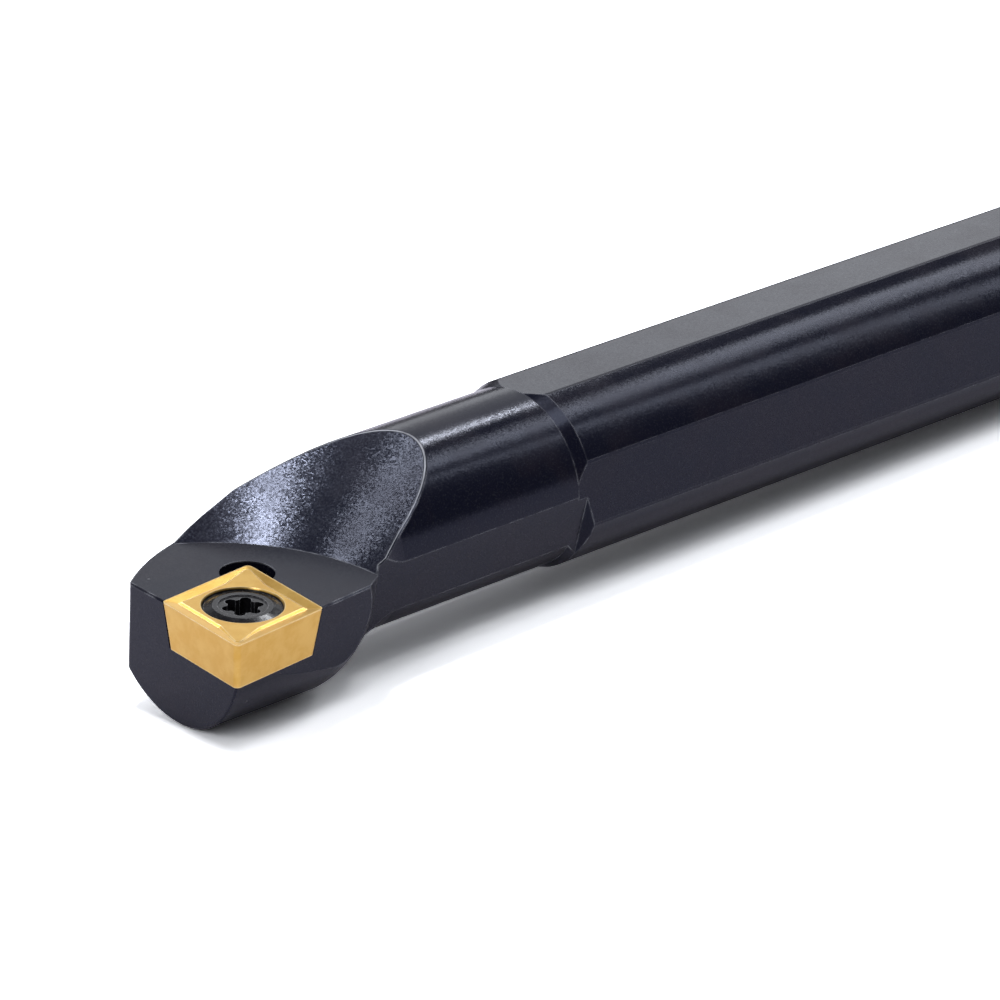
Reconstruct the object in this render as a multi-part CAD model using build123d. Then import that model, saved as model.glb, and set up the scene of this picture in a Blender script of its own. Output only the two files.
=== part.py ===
from build123d import *
import os
from math import cos, sin, tan, radians, sqrt

# Indexable boring bar, right hand, in millimetres. The shank axis is X, the rear end face is at X = 0,
# the head points to -X, the cutting side is -Y and the cutting edge looks up (+Z).
# Three pieces: the bar (one piece of steel), the cutting insert, and the screw that holds it.

# Bar: overall length, offset of the nose from the axis, shank, neck and head.
bar_length = 180.0
nose_offset = 11.0
shank_d = 16.0
across_flats = 15.0
rear_chamfer = 0.5
neck_length = 39.9
neck_d = 15.16
step_length = 1.1
nose_overhang = 0.6
head_offset = 2.66
head_offset_angle = 50.0
head_length = 13.6
shoulder_length = 4.9
shoulder_outer_r = 6.0
shoulder_inner_r = 10.0

# Flat milled low on the near side of the neck: it starts a lead behind the head and runs out past the neck.
neck_flat_distance = 7.2
neck_flat_tilt = 17.5
neck_flat_lead = 4.1
neck_flat_run_out = 1.0
neck_flat_ramp = 46.0

# Cutting edge: roll of the floor about X, and lead of the insert's edges in plan.
floor_roll = 5.0
edge_lead = 5.0

# Chip gullet: centre from the nose, radius at the floor, and slope of its flank.
gullet_x = 0.7
gullet_y = 2.75
gullet_r = 16.25
gullet_flank = 30.5

# Far side of the head, relieved along a wide arc. Its widest point lies at relief_x behind the nose, and a
# half width from the shank axis. From there an arc that curves the other way runs out into the neck.
relief_r = 21.1
relief_x = 13.5
relief_half_width = 6.75
relief_draft = 3.5
relief_exit_r = 30.0

# Faces of the head beside the insert.
end_face_x = 1.0
end_face_lead = 2.5
end_face_draft = 6.0
side_face_inset = 0.15
side_face_draft = 7.0

# Break of the bar's edges, along the floor, the gullet's rim, the end face and the shank's flats.
edge_break = 0.15

# Insert: rhombus with clearance flanks, pierced and with a pressed chipbreaker round a raised middle.
inscribed_d = 9.525
insert_thickness = 3.97
nose_angle = 80.0
clearance_angle = 7.0
corner_r = 0.4
hole_d = 4.4
hole_top_d = 6.5
seat_cone = 60.0
land = 0.12
groove_depth = 0.17
groove_rake = 10.0
plateau_inset = 1.2
plateau_wall = 30.0
tongue_inset = 0.5
tongue_width = 0.3
tongue_root = 3.4

# Screw.
thread_d = 3.5
thread_length = 3.3
thread_start = 0.6
thread_run_in = 0.3
screw_shank_d = 3.3
head_drop = 0.03
head_rim = 0.22
head_crown_d = 4.7
dish_d = 3.9
dish_depth = 0.1
lobe_outer_d = 3.35
lobe_inner_d = 2.4
lobe_turn = 38.0
drive_depth = 1.5
tip_chamfer = 0.4

# Named clearances of the pieces that mate.
wall_gap = 0.03
cone_gap = 0.03
thread_gap = 0.05
tip_room = 0.4

# Drilled clearance behind the insert's far rear corner.
corner_hole_d = 4.4
corner_hole_shift = 1.6
corner_hole_extra = 0.05

# Numerical aids: how far cutting solids reach past the bar, how far a blend's foot lies under the neck, and
# the distance at which a point counts as lying on a surface.
reach = 2.5 * shank_d
overshoot = 2.0
foot_sink = 0.02
touch = 0.01

os.makedirs("parts", exist_ok=True)

edge = inscribed_d / sin(radians(nose_angle))
head_r = nose_offset - nose_overhang
seat_depth = insert_thickness
clearance_drop = insert_thickness * tan(radians(clearance_angle))
cone_depth = (hole_top_d - hole_d) / 2 / tan(radians(seat_cone / 2))
acute = nose_angle / 2


def head_plane(extra=0.0):
    # Floor of the head: origin at the cutting nose, x along the bar, y to the far side, rolled about the bar.
    frame = Plane(origin=(-bar_length, -nose_offset, 0), x_dir=(1, 0, 0), z_dir=(0, 0, 1))
    return frame.rotated((floor_roll + extra, 0, 0))


def rhombus_points(inset):
    # Corners of the insert's outline moved in by an inset: nose, near rear, far rear, far front.
    a = radians(edge_lead)
    b = radians(edge_lead + nose_angle)
    u = (cos(a), sin(a))
    v = (cos(b), sin(b))
    k = inset / sin(radians(nose_angle))
    s = edge - 2 * k
    base = ((u[0] + v[0]) * k, (u[1] + v[1]) * k)
    near = (base[0] + u[0] * s, base[1] + u[1] * s)
    far = (base[0] + (u[0] + v[0]) * s, base[1] + (u[1] + v[1]) * s)
    front = (base[0] + v[0] * s, base[1] + v[1] * s)
    return [base, near, far, front]


def rhombus(inset, z, radius=0.0):
    face = make_face(Polyline(*rhombus_points(inset), close=True))
    if radius > 0:
        face = fillet(face.vertices(), radius)
    return Pos(0, 0, z) * face


def insert_centre():
    p = rhombus_points(0)
    return ((p[0][0] + p[2][0]) / 2, (p[0][1] + p[2][1]) / 2)


def insert_block():
    return loft([rhombus(0, 0, corner_r), rhombus(clearance_drop, -insert_thickness, corner_r)])


def plateau_points(grow):
    # Raised middle of the insert: a smaller rhombus that widens to a tongue towards each acute corner.
    a = radians(edge_lead)
    b = radians(edge_lead + nose_angle)
    wide = sin(radians(nose_angle))
    u = (cos(a), sin(a))
    v = (cos(b), sin(b))
    inset = plateau_inset - grow
    tip = tongue_inset - grow
    c = insert_centre()

    def at(from_side, from_end):
        # Point at given distances from the side edge and the end edge that meet in the nose.
        p = from_end / wide
        q = from_side / wide
        return (u[0] * p + v[0] * q, u[1] * p + v[1] * q)

    side = [at(tongue_root, inset), at(tip + tongue_width, tip)]
    end = [at(tip, tip + tongue_width), at(inset, tongue_root)]
    nose = side + end
    back = [(2 * c[0] - x, 2 * c[1] - y) for x, y in nose]
    near = rhombus_points(inset)[1]
    far = rhombus_points(inset)[3]
    return nose + [near] + back + [far]


def plateau(grow, z):
    return Pos(0, 0, z) * make_face(Polyline(*plateau_points(grow), close=True))


def chip_groove():
    # Ring between the cutting edge and the raised middle, falling from the edge and rising to the middle.
    fall = groove_depth / tan(radians(groove_rake))
    rise = groove_depth / tan(radians(plateau_wall))
    pool = loft([rhombus(land, 0, corner_r * 0.7), rhombus(land + fall, -groove_depth, corner_r * 0.4)])
    middle = loft([plateau(0, 0), plateau(rise, -groove_depth)])
    return pool - middle


def seat_hole():
    # Countersunk hole through the insert.
    c = insert_centre()
    cone = Cone(hole_d / 2, hole_top_d / 2, cone_depth, align=(Align.CENTER, Align.CENTER, Align.MAX))
    bore = Cylinder(hole_d / 2, insert_thickness, align=(Align.CENTER, Align.CENTER, Align.MAX))
    return Pos(c[0], c[1], 0) * (cone + bore)


def cutting_insert():
    body = insert_block() - chip_groove() - seat_hole()
    return head_plane() * body


def drive_star():
    # Six-lobed socket.
    c = insert_centre()
    star = Circle(lobe_inner_d / 2)
    lobe_r = (lobe_outer_d - lobe_inner_d) / 2 * 0.95
    for k in range(6):
        turn = Rot(0, 0, 60 * k + lobe_turn)
        star = star + turn * Pos(lobe_outer_d / 2 - lobe_r, 0) * Circle(lobe_r)
    return Pos(c[0], c[1], 0) * star


def insert_screw():
    c = insert_centre()
    half = tan(radians(seat_cone / 2))
    shift = cone_gap / cos(radians(seat_cone / 2))
    rim_z = -head_drop - head_rim
    rim_r = hole_top_d / 2 - (-rim_z) * half - shift
    neck_z = -(hole_top_d / 2 - shift - screw_shank_d / 2) / half
    tip_z = -seat_depth - thread_length
    outline = [
        (0, -head_drop),
        (head_crown_d / 2, -head_drop),
        (rim_r, rim_z),
        (screw_shank_d / 2, neck_z),
        (screw_shank_d / 2, -seat_depth - thread_start + thread_run_in),
        (thread_d / 2, -seat_depth - thread_start),
        (thread_d / 2, tip_z + tip_chamfer),
        (thread_d / 2 - tip_chamfer, tip_z),
        (0, tip_z),
    ]
    profile = make_face(Plane.XZ * Polyline(*outline, close=True))
    body = revolve(profile, Axis.Z)
    dish = Cylinder(dish_d / 2, dish_depth, align=(Align.CENTER, Align.CENTER, Align.MAX))
    body = body - Pos(0, 0, -head_drop) * dish
    socket = extrude(Pos(0, 0, -head_drop) * drive_star(), -drive_depth)
    body = Pos(c[0], c[1], 0) * body - socket
    return head_plane() * body


def turned_bar():
    # Half outline of the turned bar: neck carried on through the head, step, shank and rear chamfer.
    x0 = -bar_length
    step_start = x0 + neck_length
    outline = Polyline(
        (x0 - overshoot, 0),
        (x0 - overshoot, neck_d / 2),
        (step_start, neck_d / 2),
        (step_start + step_length, shank_d / 2),
        (-rear_chamfer, shank_d / 2),
        (0, shank_d / 2 - rear_chamfer),
        (0, 0),
        close=True,
    )
    return revolve(make_face(outline), Axis.X)


def head_profile(drop):
    # Half outline of the head and its rounded shoulder, measured from an axis that lies lower by a drop.
    x0 = -bar_length
    head_end = x0 + head_length
    neck_start = head_end + shoulder_length
    top = head_r - drop
    foot = neck_d / 2 - drop - foot_sink
    inside = neck_start + shoulder_outer_r
    outline = Polyline(
        (x0 - overshoot, 0),
        (x0 - overshoot, top),
        (head_end, top),
        (neck_start, foot),
        (inside, foot),
        (inside, 0),
        close=True,
    )
    face = make_face(outline)
    shoulder = face.vertices().sort_by_distance((head_end, top, 0))[0]
    face = fillet(shoulder, shoulder_outer_r)
    inner = face.vertices().sort_by_distance((neck_start, foot, 0))[0]
    return fillet(inner, shoulder_inner_r)


def head_blank():
    # Two turned sectors that meet smoothly: one about the shank axis on the near side,
    # one about an axis offset down and outwards for the underside.
    near = revolve(head_profile(0), Axis.X, 90)
    near = Rot(180 + head_offset_angle - 90, 0, 0) * near
    under = revolve(head_profile(head_offset), Axis.X, 200)
    a = radians(head_offset_angle)
    shift = Pos(0, -head_offset * cos(a), -head_offset * sin(a))
    under = shift * Rot(180 + head_offset_angle, 0, 0) * under
    return near + under


def shank_flats():
    # Top, bottom and near-side flats of the shank.
    length = bar_length - neck_length
    half = across_flats / 2
    depth = shank_d / 2
    slab = Box(length, 2 * shank_d, depth, align=(Align.MAX, Align.CENTER, Align.MIN))
    top = Pos(0, 0, half) * slab
    bottom = Pos(0, 0, -half - depth) * slab
    near = Rot(90, 0, 0) * Pos(0, 0, half) * slab
    return top + bottom + near


def neck_flat():
    # Prism along the flat, with a ramp at each end.
    rise = neck_d / 2
    run = rise / tan(radians(neck_flat_ramp))
    start = -bar_length + head_length + neck_flat_lead
    end = -bar_length + neck_length + neck_flat_run_out
    side = Polyline(
        (start, 0),
        (end, 0),
        (end + run, rise),
        (start - run, rise),
        close=True,
    )
    prism = extrude(make_face(Plane.XZ * side), shank_d, both=True)
    return Rot(90 + neck_flat_tilt, 0, 0) * Pos(0, 0, neck_flat_distance) * prism


def gullet():
    # Room above the floor: a disc as wide as the cutter whose flank opens upwards.
    height = shank_d
    spread = height / tan(radians(gullet_flank))
    cone = Cone(gullet_r, gullet_r + spread, height, align=(Align.CENTER, Align.CENTER, Align.MIN))
    return Pos(gullet_x, gullet_y, 0) * cone


def far_relief():
    # Everything beyond the wide arc on the far side of the head, and a disc that forms the exit arc.
    y = nose_offset + relief_half_width
    front = Rectangle(reach, reach + relief_r, align=(Align.MAX, Align.MIN)) - Circle(relief_r)
    front = Pos(relief_x, y - relief_r) * front
    disc = Pos(relief_x, y + relief_exit_r) * Circle(relief_exit_r)
    behind = Pos(relief_x, y) * Rectangle(relief_exit_r, 2 * relief_exit_r, align=(Align.MIN, Align.MIN))
    outline = front + (disc & behind)
    return Pos(0, 0, shank_d / 2) * extrude(outline, -reach)


def end_face_place():
    return Pos(end_face_x, nose_offset, 0) * Rot(0, -end_face_draft, -end_face_lead)


def head_faces():
    # Wedges taken off in front of the end face and outside the side face.
    front = Box(reach, 2 * reach, 2 * reach, align=(Align.MAX, Align.CENTER, Align.CENTER))
    length = 2 * (head_length + shoulder_length)
    side = Box(length, reach, 2 * reach, align=(Align.CENTER, Align.MAX, Align.CENTER))
    side = Pos(0, side_face_inset, 0) * Rot(side_face_draft, 0, edge_lead) * side
    return end_face_place() * front, side


def flank_distance(point):
    # How far a point in the head's plane lies outside the gullet's flank.
    across = sqrt((point.X - gullet_x) ** 2 + (point.Y - gullet_y) ** 2)
    return across - gullet_r - point.Z / tan(radians(gullet_flank))


def edges_to_break(bar):
    # Rim of the gullet's flank, floor's edges near the nose, end face's outline, long edges of the flats.
    floor = head_plane()
    end_face = Plane(floor * end_face_place())
    chosen = []
    for line in bar.edges():
        points = [line.position_at(t) for t in (0.25, 0.5, 0.75)]
        in_floor = [floor.to_local_coords(p) for p in points]
        in_end = [end_face.to_local_coords(p) for p in points]
        on_rim = all(abs(flank_distance(p)) < touch and p.Z > touch for p in in_floor)
        near_nose = all(abs(p.Z) < touch and p.length < head_length for p in in_floor)
        on_end = all(abs(p.X) < touch for p in in_end)
        if on_rim or near_nose or on_end or line.length > bar_length / 2:
            chosen.append(line)
    return chosen


def pocket():
    # Seat of the insert: its own outline with the wall gap, open to the front and the near side.
    p = rhombus_points(-wall_gap)
    q = rhombus_points(clearance_drop - wall_gap)
    a = radians(edge_lead)
    b = radians(edge_lead + nose_angle)
    out = inscribed_d / 2

    def outline(r):
        right = (r[1][0] - cos(b) * out, r[1][1] - sin(b) * out)
        left = (r[3][0] - cos(a) * out, r[3][1] - sin(a) * out)
        corner = (left[0] - cos(b) * (edge + out), left[1] - sin(b) * (edge + out))
        return make_face(Polyline(right, r[2], left, corner, close=True))

    return loft([outline(p), Pos(0, 0, -seat_depth) * outline(q)])


def corner_relief():
    p = rhombus_points(0)
    d = radians(edge_lead + acute)
    x = p[2][0] - cos(d) * corner_hole_shift
    y = p[2][1] - sin(d) * corner_hole_shift
    depth = seat_depth + corner_hole_extra
    hole = Cylinder(corner_hole_d / 2, depth, align=(Align.CENTER, Align.CENTER, Align.MAX))
    return Pos(x, y, 0) * hole


def screw_hole():
    c = insert_centre()
    depth = seat_depth + thread_length + tip_room
    hole = Cylinder(thread_d / 2 + thread_gap, depth, align=(Align.CENTER, Align.CENTER, Align.MAX))
    return Pos(c[0], c[1], 0) * hole


def bar_body():
    plane = head_plane()
    bar = turned_bar() + head_blank()
    bar = bar - head_plane(relief_draft) * far_relief()
    front, side = head_faces()
    bar = bar - plane * front - plane * side
    bar = bar - neck_flat() - shank_flats()
    bar = bar - plane * gullet()
    bar = chamfer(edges_to_break(bar), edge_break)
    bar = bar - plane * pocket() - plane * corner_relief() - plane * screw_hole()
    return bar


def save(name, shape):
    solid = shape.solids()[0] if len(shape.solids()) == 1 else Compound(shape.solids())
    solid.label = name
    export_step(solid, f"parts/{name}.step")


save("bar_body", bar_body())
save("cutting_insert", cutting_insert())
save("insert_screw", insert_screw())
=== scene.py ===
import math

import bpy
import numpy as np
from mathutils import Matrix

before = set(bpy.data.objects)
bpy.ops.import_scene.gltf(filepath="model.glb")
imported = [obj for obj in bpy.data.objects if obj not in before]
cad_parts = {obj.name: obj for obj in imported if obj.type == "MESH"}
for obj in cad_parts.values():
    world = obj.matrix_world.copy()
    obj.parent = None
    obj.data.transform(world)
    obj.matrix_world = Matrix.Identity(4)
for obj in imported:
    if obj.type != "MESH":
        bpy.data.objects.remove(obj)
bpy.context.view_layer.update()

# Bar body.
# The real bar is turned and milled from one piece of steel, blasted and blackened in an oxide bath.
# The oxide is a thin dark skin over satin steel: it is rubbed bright along the edges, and the scooped
# gullet keeps the coarser sparkle of its blasting.

# The head's plane starts at the nose and is rolled about the bar. The gullet is part of a cone that opens upwards.
# Within the insert's reach the edges of the pocket stay black.
nose = (-0.180, -0.011, 0.0)
head_roll = math.radians(5.0)
gullet_centre = (0.0007, 0.00275)
gullet_radius = 0.01625
gullet_flank = math.radians(30.5)
insert_middle = (0.005239, 0.005239)
insert_reach = 0.0066
insert_margin = 0.0006

# Each mask fades in from its first distance to its second.
above_floor = (0.00002, 0.0003)
beside_flank = (0.00015, 0.00005)
rim_start = (0.00002, 0.00005)
rim_end = (0.00014, 0.00009)

oxide_colour = (0.0046, 0.0050, 0.0125, 1)
oxide_brown = (0.0078, 0.0064, 0.0130, 1)
oxide_reflection = (0.70, 0.76, 1.0, 1)
oxide_ior = 1.30
film_colour = (0.034, 0.035, 0.041, 1)
fleck_colour = (0.055, 0.060, 0.075, 1)
dust_colour = (0.16, 0.16, 0.17, 1)
bare_steel = (0.60, 0.61, 0.66, 1)

# How much each layer covers where it is thickest.
film_share = 0.35
fleck_share = 0.25
dust_share = 0.5
worn_share = 0.30
rubbed_share = (0.35, 0.85)

# Parts of a noise's range, from where a layer begins to where it is full.
brown_span = (0.40, 0.65)
film_span = (0.50, 0.72)
fleck_span = (0.44, 0.66)
rubbed_span = (0.30, 0.60)
gloss_span = (0.35, 0.70)

oxide_roughness = (0.16, 0.21)
worn_roughness = 0.15
ring_stretch = (1.0, 0.06, 0.06)
ring_height = 0.35
blast_height = 1.2
oxide_relief = 0.0000020
pit_lean = 0.03


def fill(tree, node, inputs):
    """Gives a node's inputs their values, or links where they come from other nodes."""
    for name, value in inputs.items():
        if isinstance(value, bpy.types.NodeSocket):
            tree.links.new(value, node.inputs[name])
        else:
            node.inputs[name].default_value = value


def add(tree, kind, inputs=None, **settings):
    """Adds a shader node with its settings and inputs."""
    made = tree.nodes.new(kind)
    for name, value in settings.items():
        setattr(made, name, value)
    fill(tree, made, inputs or {})
    return made


def calc(tree, operation, first, second=0.0, third=0.0):
    """Result of one sum on two or three values."""
    return add(tree, "ShaderNodeMath", {0: first, 1: second, 2: third}, operation=operation).outputs[0]


def product(tree, first, *others):
    """Product of two or more values."""
    for other in others:
        first = calc(tree, "MULTIPLY", first, other)
    return first


def vector_calc(tree, operation, first, inputs):
    """The node of one sum on vectors, the first of them and its other inputs."""
    return add(tree, "ShaderNodeVectorMath", {0: first, **inputs}, operation=operation)


def along(tree, direction, axis):
    """Cosine of the angle between two unit directions."""
    return vector_calc(tree, "DOT_PRODUCT", direction, {1: axis}).outputs["Value"]


def ramp(tree, value, low, high, start=0.0, end=1.0):
    """A value that runs smoothly from start to end while its input runs from low to high."""
    made = add(tree, "ShaderNodeMapRange", {"Value": value, "From Min": low, "From Max": high,
                                            "To Min": start, "To Max": end}, interpolation_type="SMOOTHSTEP")
    return made.outputs["Result"]


def blend(tree, share, first, second):
    """Colour between two colours."""
    return add(tree, "ShaderNodeMix", {0: share, 6: first, 7: second}, data_type="RGBA").outputs[2]


def noise(tree, position, size, detail, roughness=0.5):
    """Noise whose lumps are about as wide as the given size."""
    per_metre = calc(tree, "DIVIDE", 1.0, size)
    return add(tree, "ShaderNodeTexNoise", {"Vector": position, "Scale": per_metre, "Detail": detail,
                                            "Roughness": roughness}).outputs["Fac"]


def cell_pattern(tree, position, size):
    """Cells about as wide as the given size: the distance from each one's middle, and its own colour."""
    per_metre = calc(tree, "DIVIDE", 1.0, size)
    return add(tree, "ShaderNodeTexVoronoi", {"Vector": position, "Scale": per_metre}).outputs


def in_head_plane(tree, position, origin):
    """A place's three measures from an origin, along the axes of the head's rolled plane."""
    turned = add(tree, "ShaderNodeMapping", {"Vector": position, "Location": origin, "Rotation": (head_roll, 0, 0)},
                 vector_type="TEXTURE")
    return add(tree, "ShaderNodeSeparateXYZ", {0: turned.outputs[0]}).outputs


def distance(tree, point, middle):
    """Distance from an axis that stands square to the head's plane at a given middle."""
    x = calc(tree, "SUBTRACT", point["X"], middle[0])
    y = calc(tree, "SUBTRACT", point["Y"], middle[1])
    return calc(tree, "SQRT", calc(tree, "ADD", product(tree, x, x), product(tree, y, y)))


def new_material(name):
    """An empty node material with its output and its shader, joined."""
    made = bpy.data.materials.new(name)
    made.use_nodes = True
    made.node_tree.nodes.clear()
    shader = made.node_tree.nodes.new("ShaderNodeBsdfPrincipled")
    output = made.node_tree.nodes.new("ShaderNodeOutputMaterial")
    made.node_tree.links.new(shader.outputs["BSDF"], output.inputs["Surface"])
    return made, made.node_tree, shader


def new_group(name, inputs, outputs):
    """An empty shader node group with named sockets, and the nodes of its two ends."""
    tree = bpy.data.node_groups.new(name, "ShaderNodeTree")
    for socket, (kind, value) in inputs.items():
        made = tree.interface.new_socket(socket, in_out="INPUT", socket_type="NodeSocket" + kind)
        if value is not None:
            made.default_value = value
    for socket, kind in outputs.items():
        tree.interface.new_socket(socket, in_out="OUTPUT", socket_type="NodeSocket" + kind)
    return tree, tree.nodes.new("NodeGroupInput").outputs, tree.nodes.new("NodeGroupOutput").inputs


def use_group(tree, group, inputs):
    """Places a node group in a material, with its own values."""
    return add(tree, "ShaderNodeGroup", inputs, node_tree=group).outputs


# Edge wear: how far the normal turns within a small radius tells where an edge is, and noise breaks it up.
edge_samples = 4
edge_turn = (0.998, 0.965)
patch_span = (0.34, 0.60)
patch_detail = 3.0

edge_wear, given, result = new_group(
    "edge_wear",
    {"Position": ("Vector", None), "Radius": ("Float", 0.0001), "Patch size": ("Float", 0.001),
     "Evenness": ("Float", 0.0)},
    {"Mask": "Float"})
rounded = add(edge_wear, "ShaderNodeBevel", {"Radius": given["Radius"]}, samples=edge_samples).outputs["Normal"]
plain = add(edge_wear, "ShaderNodeNewGeometry").outputs["Normal"]
nearness = ramp(edge_wear, along(edge_wear, rounded, plain), *edge_turn)
patches = ramp(edge_wear, noise(edge_wear, given["Position"], given["Patch size"], patch_detail), *patch_span)
kept = calc(edge_wear, "MAXIMUM", patches, given["Evenness"])
edge_wear.links.new(product(edge_wear, nearness, kept), result["Mask"])

# Grain: a fine uneven height, and a slow cloud that varies the colour and the gloss.
height_detail = 2.0
cloud_detail = 4.0
cloud_roughness = 0.6

grain, given, result = new_group(
    "grain",
    {"Position": ("Vector", None), "Grain size": ("Float", 0.0002), "Cloud size": ("Float", 0.004)},
    {"Height": "Float", "Cloud": "Float"})
fine = noise(grain, given["Position"], given["Grain size"], height_detail)
slow = noise(grain, given["Position"], given["Cloud size"], cloud_detail, cloud_roughness)
grain.links.new(fine, result["Height"])
grain.links.new(slow, result["Cloud"])

# Sparkle: every small cell of the surface leans its own way, as the pits of blasted steel do.
middle_colour = (0.5, 0.5, 0.5)

sparkle, given, result = new_group(
    "sparkle",
    {"Position": ("Vector", None), "Pit size": ("Float", 0.0002), "Lean": ("Float", 0.1)},
    {"Normal": "Vector"})
cells = cell_pattern(sparkle, given["Position"], given["Pit size"])
centred = vector_calc(sparkle, "SUBTRACT", cells["Color"], {1: middle_colour})
leaning = vector_calc(sparkle, "SCALE", centred.outputs[0], {"Scale": given["Lean"]})
plain = add(sparkle, "ShaderNodeNewGeometry").outputs["Normal"]
turned = vector_calc(sparkle, "ADD", plain, {1: leaning.outputs[0]})
unit = vector_calc(sparkle, "NORMALIZE", turned.outputs[0], {})
sparkle.links.new(unit.outputs[0], result["Normal"])

# Specks: sparse small dots of dust and nicks, one in some of the cells of a pattern.
speck_span = (0.55, 0.75)

specks, given, result = new_group(
    "specks",
    {"Position": ("Vector", None), "Spacing": ("Float", 0.003), "Dot size": ("Float", 0.05)},
    {"Mask": "Float"})
cells = cell_pattern(specks, given["Position"], given["Spacing"])
dot = calc(specks, "LESS_THAN", cells["Distance"], given["Dot size"])
shade = add(specks, "ShaderNodeSeparateColor", {"Color": cells["Color"]}).outputs["Red"]
specks.links.new(product(specks, dot, ramp(specks, shade, *speck_span)), result["Mask"])

oxide, tree, shader = new_material("black_oxide")
place = add(tree, "ShaderNodeTexCoord").outputs["Object"]
head = in_head_plane(tree, place, nose)
cone_radius = calc(tree, "MULTIPLY_ADD", head["Z"], 1 / math.tan(gullet_flank), gullet_radius)
past_flank = calc(tree, "SUBTRACT", distance(tree, head, gullet_centre), cone_radius)
above = ramp(tree, head["Z"], *above_floor)
in_gullet = product(tree, ramp(tree, calc(tree, "ABSOLUTE", past_flank), *beside_flank), above)
on_rim = product(tree, ramp(tree, past_flank, *rim_start), ramp(tree, past_flank, *rim_end))
open_edge = ramp(tree, distance(tree, head, insert_middle), insert_reach, insert_reach + insert_margin)

skin = use_group(tree, grain, {"Position": place, "Grain size": 0.00014, "Cloud size": 0.005})
blast = use_group(tree, grain, {"Position": place, "Grain size": 0.00018})
stretched = add(tree, "ShaderNodeMapping", {"Vector": place, "Scale": ring_stretch}).outputs[0]
rings = use_group(tree, grain, {"Position": stretched, "Grain size": 0.00016})
wear = use_group(tree, edge_wear, {"Position": place, "Radius": 0.00020, "Patch size": 0.0014, "Evenness": 0.25})
lean = calc(tree, "MULTIPLY_ADD", in_gullet, pit_lean, pit_lean)
pits = use_group(tree, sparkle, {"Position": place, "Pit size": 0.00013, "Lean": lean})
dust = use_group(tree, specks, {"Position": place, "Spacing": 0.0042, "Dot size": 0.028})

colour = blend(tree, ramp(tree, skin["Cloud"], *brown_span), oxide_colour, oxide_brown)
film = product(tree, ramp(tree, skin["Height"], *film_span), film_share)
colour = blend(tree, film, colour, film_colour)
flecks = product(tree, ramp(tree, blast["Height"], *fleck_span), in_gullet, fleck_share)
colour = blend(tree, flecks, colour, fleck_colour)
colour = blend(tree, product(tree, dust["Mask"], dust_share), colour, dust_colour)
rubbed = product(tree, on_rim, above, ramp(tree, skin["Cloud"], *rubbed_span, *rubbed_share))
worn = product(tree, wear["Mask"], worn_share, open_edge)
colour = blend(tree, calc(tree, "MAXIMUM", worn, rubbed), colour, bare_steel)
gloss = ramp(tree, skin["Cloud"], *gloss_span, *oxide_roughness)
height = calc(tree, "MULTIPLY_ADD", rings["Height"], ring_height, skin["Height"])
height = calc(tree, "MULTIPLY_ADD", product(tree, blast["Height"], in_gullet), blast_height, height)
bumps = add(tree, "ShaderNodeBump", {"Height": height, "Strength": 1.0, "Distance": oxide_relief,
                                     "Normal": pits["Normal"]})
fill(tree, shader, {
    "Base Color": colour, "Roughness": calc(tree, "MULTIPLY_ADD", wear["Mask"], worn_roughness, gloss),
    "IOR": oxide_ior, "Specular Tint": oxide_reflection, "Normal": bumps.outputs[0]})
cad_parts["bar_body"].material_slots[0].material = oxide

# Cutting insert.
# Pressed and sintered carbide, ground to a fit, with a thin gold-coloured ceramic coating. The flanks and the
# chipbreaker are satin.
# Every edge is painted paler gold, partly for the honed cutting edge and partly as a painted highlight, and the
# seat in the hole is painted dark as painted shade.

insert_centre = (-0.174761, -0.005770, 0.000457)
hole_axis = (0.0, 0.0)
seat_radius = 0.00318
seat_margin = 0.00004

gold_colour = (0.70, 0.405, 0.080, 1)
gold_pale = (0.77, 0.485, 0.124, 1)
gold_edge_and_highlight = (0.95, 0.80, 0.48, 1)
painted_seat_shade = (0.010, 0.009, 0.008, 1)
pale_span = (0.38, 0.66)
honed_and_highlight_share = 0.8
gold_metallic = 0.85
gold_roughness = (0.28, 0.36)
gold_relief = 0.0000015

gold, tree, shader = new_material("gold_coating")
place = add(tree, "ShaderNodeTexCoord").outputs["Object"]
from_axis = distance(tree, in_head_plane(tree, place, insert_centre), hole_axis)
in_seat = ramp(tree, from_axis, seat_radius + seat_margin, seat_radius - seat_margin)
skin = use_group(tree, grain, {"Position": place, "Grain size": 0.00007, "Cloud size": 0.0018})
wear = use_group(tree, edge_wear, {"Position": place, "Radius": 0.00015, "Patch size": 0.0012, "Evenness": 0.7})
colour = blend(tree, ramp(tree, skin["Cloud"], *pale_span), gold_colour, gold_pale)
# Painted highlight: all edges are made paler gold, partly as a real honed edge and partly standing in for light
# caught along the edges.
colour = blend(tree, product(tree, wear["Mask"], honed_and_highlight_share), colour, gold_edge_and_highlight)
# Painted shade: the countersunk seat around the hole is painted near black, standing in for the shade inside the
# hole.
colour = blend(tree, in_seat, colour, painted_seat_shade)
bumps = add(tree, "ShaderNodeBump", {"Height": skin["Height"], "Strength": 1.0, "Distance": gold_relief})
fill(tree, shader, {
    "Base Color": colour, "Metallic": gold_metallic,
    "Roughness": ramp(tree, skin["Cloud"], *gloss_span, *gold_roughness), "Normal": bumps.outputs[0]})
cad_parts["cutting_insert"].material_slots[0].material = gold

# Insert screw.
# Hardened steel, blackened and a little oily, with a pressed star socket in its countersunk head.
# Its edges are worn a little by the key.

screw_colour = (0.007, 0.007, 0.0085, 1)
screw_brown = (0.013, 0.012, 0.013, 1)
screw_bare = (0.36, 0.36, 0.38, 1)
screw_worn_share = 0.55
screw_ior = 1.40
screw_roughness = (0.20, 0.30)
screw_relief = 0.000005

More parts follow.
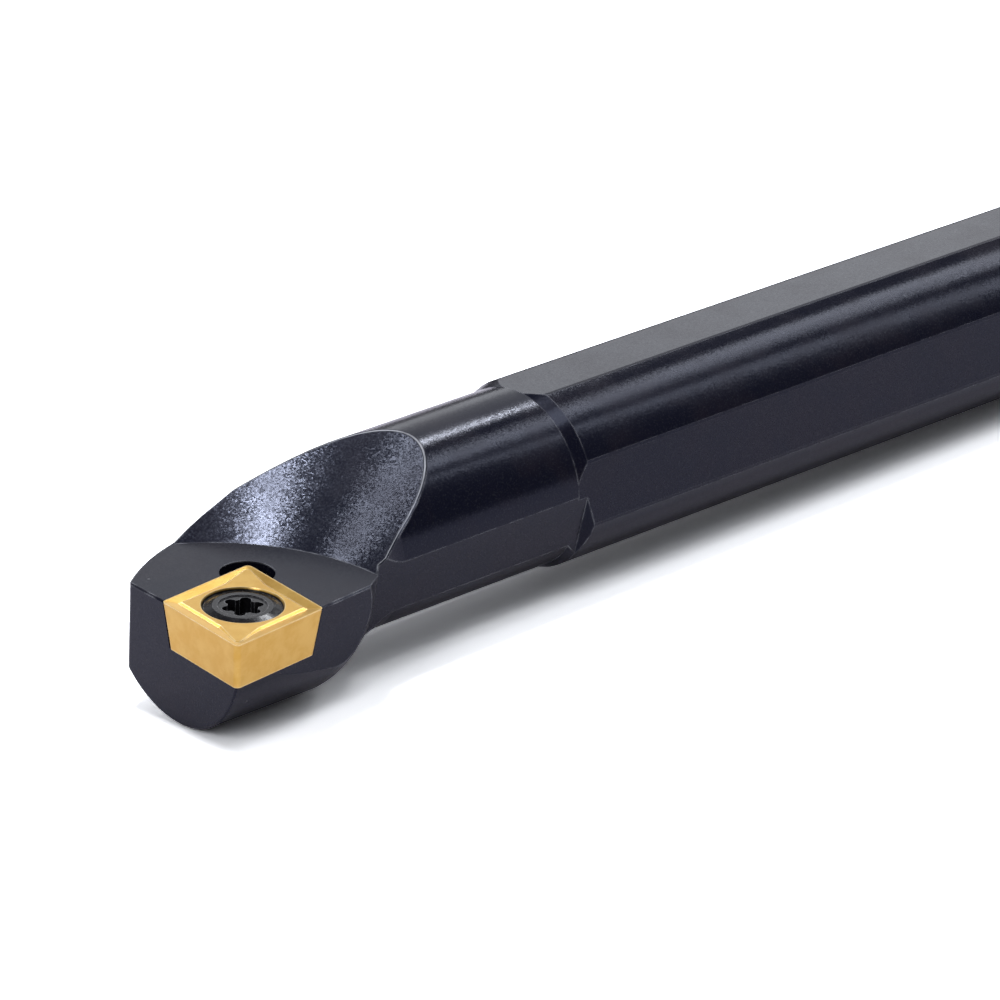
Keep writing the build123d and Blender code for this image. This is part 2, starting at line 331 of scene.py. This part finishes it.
screw_black, tree, shader = new_material("screw_black")
place = add(tree, "ShaderNodeTexCoord").outputs["Object"]
skin = use_group(tree, grain, {"Position": place, "Grain size": 0.00012, "Cloud size": 0.0008})
wear = use_group(tree, edge_wear, {"Position": place, "Radius": 0.00010, "Patch size": 0.0004, "Evenness": 0.4})
colour = blend(tree, ramp(tree, skin["Cloud"], *brown_span), screw_colour, screw_brown)
colour = blend(tree, product(tree, wear["Mask"], screw_worn_share), colour, screw_bare)
bumps = add(tree, "ShaderNodeBump", {"Height": skin["Height"], "Strength": 1.0, "Distance": screw_relief})
fill(tree, shader, {
    "Base Color": colour, "IOR": screw_ior,
    "Roughness": ramp(tree, skin["Cloud"], *gloss_span, *screw_roughness), "Normal": bumps.outputs[0]})
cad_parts["insert_screw"].material_slots[0].material = screw_black

# Floor.
# A plain pale table. The bar rests on the underside of its head and on the rear edge of its lower flat,
# so the table's plane is tilted by the small angle between them.

head_depth = 0.00978
head_contact = 0.1664
flat_depth = 0.0075
floor_size = 6.0

# Pale grey where it throws light back, faintly violet where the bar mirrors it, and white to the camera.
floor_colour = (0.8, 0.8, 0.8, 1)
floor_mirrored = (0.93, 0.89, 0.98, 1)
floor_seen = (2.1, 2.1, 2.1, 1)
floor_roughness = 0.9

floor_slope = (head_depth - flat_depth) / head_contact
corners = np.array([[-1, -1], [1, -1], [1, 1], [-1, 1]]) * floor_size / 2
points = [(x, y, -flat_depth + floor_slope * x) for x, y in corners]
floor_mesh = bpy.data.meshes.new("table")
floor_mesh.from_pydata(points, [], [(0, 1, 2, 3)])
floor = bpy.data.objects.new("table", floor_mesh)
bpy.context.scene.collection.objects.link(floor)

table_white, tree, shader = new_material("table_white")
path = add(tree, "ShaderNodeLightPath").outputs
mirrored = calc(tree, "MAXIMUM", path["Is Glossy Ray"], path["Is Transmission Ray"])
tone = blend(tree, mirrored, floor_colour, floor_mirrored)
fill(tree, shader, {
    "Base Color": blend(tree, path["Is Camera Ray"], tone, floor_seen), "Roughness": floor_roughness,
    "Specular IOR Level": 0.0})
floor_mesh.materials.append(table_white)

# Light.
# A studio made of soft boxes round a dim room. Each box is a window in the sky, given by the direction of its
# middle (azimuth from +X towards +Y, and elevation), half its width and height, all in degrees, and its strength.

boxes = {
    "key": (23.4, 48.3, 2.5, 2.0, 66.0),
    "strip": (-23.8, 48.2, 18.2, 2.0, 7.8),
    "overhead": (126.9, 84.9, 2.5, 2.0, 165.0),
    "rear": (104.9, 65.2, 2.5, 2.0, 32.0),
    "backdrop": (41.5, 29.0, 10.5, 18.0, 0.90),
    "low backdrop": (43.5, 17.0, 11.0, 6.0, 0.65),
    "ceiling": (-83.0, 71.9, 7.8, 9.8, 5.5),
    "front panel": (-165.0, 35.0, 8.0, 15.0, 4.5),
    "far panel": (150.0, 35.0, 20.0, 15.0, 0.9),
    "back panel": (88.0, 24.0, 22.0, 14.0, 0.8),
    "right panel": (4.0, 18.0, 10.0, 10.0, 0.4),
    "side": (-31.5, 29.0, 2.8, 11.5, 4.9),
    "far left": (94.0, 47.0, 7.0, 4.0, 7.5),
    "near right": (-6.0, 40.0, 6.0, 2.5, 10.5),
}
edge_softness = 1.0
room_level = 0.10
light_colour = (0.94, 0.96, 1.0, 1)

# Soft box: whether a direction lies in a box, by its angles from the box's middle, in radians.
softbox, given, result = new_group(
    "softbox",
    {"Direction": ("Vector", None), "Middle": ("Vector", None), "Across": ("Vector", None), "Up": ("Vector", None),
     "Half width": ("Float", 0.2), "Half height": ("Float", 0.2), "Softness": ("Float", 0.02)},
    {"Mask": "Float"})
ahead = along(softbox, given["Direction"], given["Middle"])


def inside(axis, half):
    """One within the half angle on both sides of the middle, and zero beyond it, with a soft edge."""
    aside = calc(softbox, "ABSOLUTE", along(softbox, given["Direction"], given[axis]))
    outer = calc(softbox, "ADD", given[half], given["Softness"])
    inner = calc(softbox, "SUBTRACT", given[half], given["Softness"])
    return ramp(softbox, calc(softbox, "ARCTAN2", aside, ahead), outer, inner)


softbox.links.new(product(softbox, inside("Across", "Half width"), inside("Up", "Half height")), result["Mask"])

world = bpy.data.worlds.new("studio")
bpy.context.scene.world = world
world.use_nodes = True
tree = world.node_tree
direction = add(tree, "ShaderNodeTexCoord").outputs["Generated"]
level = room_level
for *angles, strength in boxes.values():
    a, e, half_width, half_height = (math.radians(angle) for angle in angles)
    mask = use_group(tree, softbox, {
        "Direction": direction,
        "Middle": (math.cos(a) * math.cos(e), math.sin(a) * math.cos(e), math.sin(e)),
        "Across": (-math.sin(a), math.cos(a), 0.0),
        "Up": (-math.cos(a) * math.sin(e), -math.sin(a) * math.sin(e), math.cos(e)),
        "Half width": half_width, "Half height": half_height, "Softness": math.radians(edge_softness)})["Mask"]
    level = calc(tree, "MULTIPLY_ADD", mask, strength, level)
fill(tree, tree.nodes["Background"], {"Color": light_colour, "Strength": level})

# Camera.
# Long lens, looking at the head from the front and a little above.
# Its place is in metres, its turn in degrees, and its lens and sensor in millimetres.

camera_place = (-0.43175, -0.30419, 0.15641)
camera_turn = (69.392, 1.2689, -44.1108)
camera_lens = 198.504
camera_sensor = 36.0
camera_near = 0.01
camera_far = 20.0

camera_data = bpy.data.cameras.new("camera")
camera_data.lens = camera_lens
camera_data.sensor_width = camera_sensor
camera_data.clip_start = camera_near
camera_data.clip_end = camera_far
camera = bpy.data.objects.new("camera", camera_data)
camera.location = camera_place
camera.rotation_euler = [math.radians(angle) for angle in camera_turn]
bpy.context.scene.collection.objects.link(camera)
bpy.context.scene.camera = camera

bpy.context.scene.view_settings.view_transform = "Standard"
